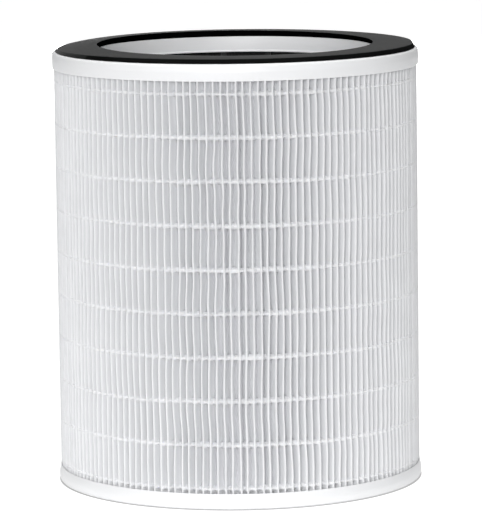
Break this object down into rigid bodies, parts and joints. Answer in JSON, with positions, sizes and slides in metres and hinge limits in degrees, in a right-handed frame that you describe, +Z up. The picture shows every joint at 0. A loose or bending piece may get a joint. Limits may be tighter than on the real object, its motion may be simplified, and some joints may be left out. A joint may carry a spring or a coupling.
{
  "type": "air purifier filter cartridge",
  "caption": "Round pleated filter cartridge for a room air purifier, with moulded end caps, glue-spaced folds, a carbon-lined open bore and a foam sealing gasket on top.",
  "frame": {"origin": "centre of the face that the cartridge stands on, on the axis of the bore", "axes": "+Z up along the cartridge's axis, towards the gasket; -Y towards the viewer; the closing seam of the folds is at +Y"},
  "size_m": [0.2186, 0.2186, 0.261],
  "materials": {
    "foam": "closed-cell foam, cut edge, dead matt",
    "tape": "thin double-sided adhesive film",
    "white_abs": "moulded, satin gloss, rounded edges",
    "potting": "cast glue, smooth meniscus",
    "paper": "fibrous non-woven filter media, sharp folds",
    "hot_melt": "translucent milky hot-melt, soft beads",
    "net": "fine knitted scrim",
    "carbon": "bonded coarse granules",
    "black_plastic": "moulded, semi matt"
  },
  "bodies": {
    "root": {"foam_gasket": "foam", "gasket_tape": "tape", "top_end_cap": "white_abs", "top_potting": "potting", "pleated_media": "paper", "media_seam": "hot_melt", "glue_bead_01": "hot_melt", "glue_bead_02": "hot_melt", "glue_bead_03": "hot_melt", "glue_bead_04": "hot_melt", "glue_bead_05": "hot_melt", "glue_bead_06": "hot_melt", "glue_bead_07": "hot_melt", "glue_bead_08": "hot_melt", "glue_bead_09": "hot_melt", "glue_bead_10": "hot_melt", "carbon_outer_net": "net", "activated_carbon": "carbon", "carbon_inner_net": "net", "support_cage": "black_plastic", "bottom_potting": "potting", "bottom_end_cap": "white_abs"}
  },
  "joints": []
}
